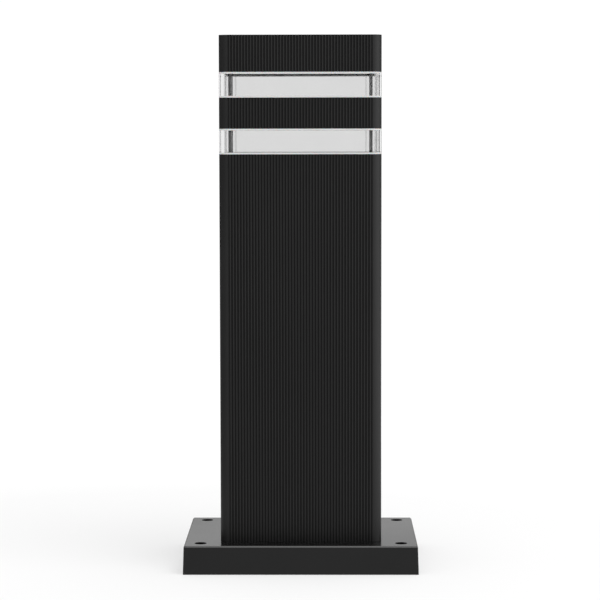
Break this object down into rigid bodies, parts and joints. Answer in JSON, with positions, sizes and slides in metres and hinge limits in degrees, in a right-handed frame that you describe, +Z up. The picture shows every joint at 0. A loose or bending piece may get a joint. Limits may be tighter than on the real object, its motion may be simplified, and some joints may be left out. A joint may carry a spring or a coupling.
{
  "type": "bollard light",
  "caption": "Fixed bollard light: fluted black rectangular post on a cast base, with two clear see-through light windows below the cap.",
  "frame": {"origin": "centre of the base's foot, on the ground", "axes": "+Z up; X across the bollard's wide side; -Y the front that the windows' wide side faces"},
  "size_m": [0.2176, 0.1556, 0.4959],
  "materials": {
    "base_coat": "smooth satin black coat on a casting",
    "section_coat": "fine matt black powder coat on fluted extrusion",
    "plate_coat": "matt black powder coat on sheet",
    "lid_coat": "fine matt black powder coat",
    "spigot_casting": "as cast, bead blasted",
    "strap_steel": "grey zinc-flake coat",
    "clear_acrylic": "clear, polished",
    "lens_acrylic": "clear moulded lenses",
    "silicone": "translucent white silicone",
    "seal_rubber": "matt",
    "gland_plastic": "moulded polyamide",
    "black_screw": "black oxide",
    "zinc_screw": "bright zinc plate",
    "galvanised_sheet": "galvanised",
    "driver_case": "white moulded case",
    "block_plastic": "grey moulded housing",
    "lever_plastic": "orange moulded levers",
    "pin_steel": "drawn",
    "contact_brass": "bright",
    "tag_metal": "tinned",
    "line_insulation": "brown insulation",
    "neutral_insulation": "blue insulation",
    "earth_insulation": "green and yellow insulation",
    "lead_insulation": "translucent silicone lead",
    "connector_plastic": "ivory moulded",
    "board_laminate": "white solder mask",
    "led_phosphor": "yellow phosphor",
    "sink_aluminium": "extruded, plain"
  },
  "bodies": {
    "base": {"base_plate": "base_coat", "spigot": "spigot_casting", "spigot_screws": "zinc_screw", "gland_body": "gland_plastic", "gland_locknut": "gland_plastic", "gland_dome_nut": "gland_plastic", "gland_seal": "seal_rubber"},
    "post": {"cap_body": "section_coat", "cap_bottom_plate": "plate_coat", "cap_bottom_plate_screws": "black_screw", "cap_engine_screws": "zinc_screw", "cap_heat_sink": "sink_aluminium", "cap_lead_connectors": "connector_plastic", "cap_led_board": "board_laminate", "cap_leds": "led_phosphor", "cap_lens_sheet": "lens_acrylic", "cap_lid": "lid_coat", "cap_lid_screws": "black_screw", "earth_screw": "zinc_screw", "earth_tag": "tag_metal", "earth_wire": "earth_insulation", "feed_lead": "lead_insulation", "gear_tray": "galvanised_sheet", "gear_tray_screws": "zinc_screw", "led_driver": "driver_case", "led_driver_screws": "zinc_screw", "left_strap": "strap_steel", "lever_pin": "pin_steel", "line_wire": "line_insulation", "link_lead": "lead_insulation", "lower_window_bottom_gasket": "silicone", "lower_window_ring": "clear_acrylic", "lower_window_top_gasket": "silicone", "neutral_wire": "neutral_insulation", "post_body": "section_coat", "post_set_screws": "black_screw", "post_top_plate": "plate_coat", "post_top_plate_screws": "black_screw", "return_lead": "lead_insulation", "right_strap": "strap_steel", "spacer_body": "section_coat", "spacer_bottom_plate": "plate_coat", "spacer_engine_screws": "zinc_screw", "spacer_heat_sink": "sink_aluminium", "spacer_lead_connector": "connector_plastic", "spacer_led_board": "board_laminate", "spacer_leds": "led_phosphor", "spacer_lens_sheet": "lens_acrylic", "spacer_plate_screws": "black_screw", "spacer_top_plate": "plate_coat", "strap_screws": "zinc_screw", "terminal_block": "block_plastic", "terminal_block_screws": "zinc_screw", "terminal_contacts": "contact_brass", "upper_window_bottom_gasket": "silicone", "upper_window_ring": "clear_acrylic", "upper_window_top_gasket": "silicone"},
    "line_lever": {"line_lever": "lever_plastic"},
    "neutral_lever": {"neutral_lever": "lever_plastic"},
    "earth_lever": {"earth_lever": "lever_plastic"}
  },
  "joints": [
    {"name": "post_lift", "type": "slide", "parent": "base", "child": "post", "axis": [0, 0, 1], "range_m": [0, 0.07]},
    {"name": "line_lever_hinge", "type": "hinge", "parent": "post", "child": "line_lever", "pos_m": [-0.009, 0.0104, 0.1483], "axis": [-1, 0, 0], "range_deg": [0, 85]},
    {"name": "neutral_lever_hinge", "type": "hinge", "parent": "post", "child": "neutral_lever", "pos_m": [0, 0.0104, 0.1483], "axis": [-1, 0, 0], "range_deg": [0, 85]},
    {"name": "earth_lever_hinge", "type": "hinge", "parent": "post", "child": "earth_lever", "pos_m": [0.009, 0.0104, 0.1483], "axis": [-1, 0, 0], "range_deg": [0, 85]}
  ]
}
